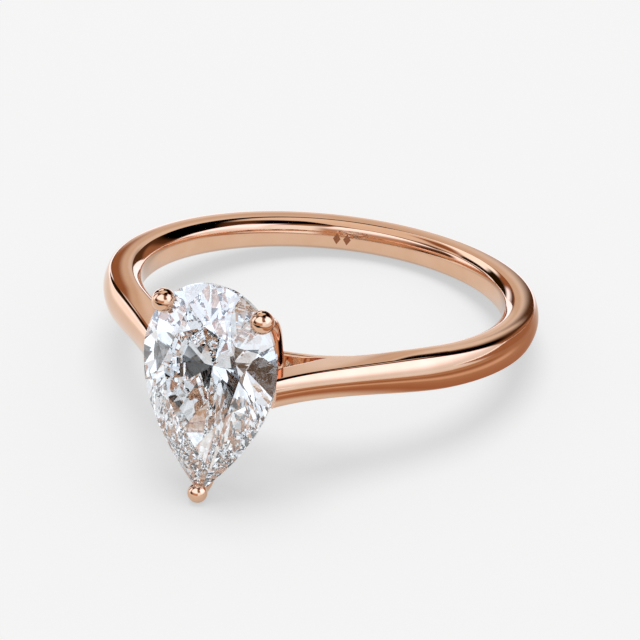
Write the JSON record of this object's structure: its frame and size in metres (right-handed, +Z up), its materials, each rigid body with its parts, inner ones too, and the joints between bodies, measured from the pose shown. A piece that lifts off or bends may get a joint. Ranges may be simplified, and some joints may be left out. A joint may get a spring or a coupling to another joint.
{
  "type": "engagement ring",
  "caption": "Slim rose gold ring with raised cathedral shoulders that hold a pear-cut clear stone in ball claws, worn on a finger.",
  "frame": {"origin": "centre of the ring's footprint on the surface that it lies on, level with that surface", "axes": "the ring lies on its side: +Z up, roughly along the finger hole, +Y from the stone to the back of the band, +X to the right seen from the stone's side"},
  "size_m": [0.02, 0.024, 0.0099],
  "materials": {
    "rose_gold": "polished",
    "diamond": "polished"
  },
  "bodies": {
    "root": {"shank": "rose_gold", "shoulder_left": "rose_gold", "shoulder_right": "rose_gold", "finger_rail": "rose_gold", "head_base": "rose_gold", "gallery_rail": "rose_gold", "claw_left": "rose_gold", "claw_right": "rose_gold", "claw_tip": "rose_gold", "stone": "diamond"}
  },
  "joints": []
}
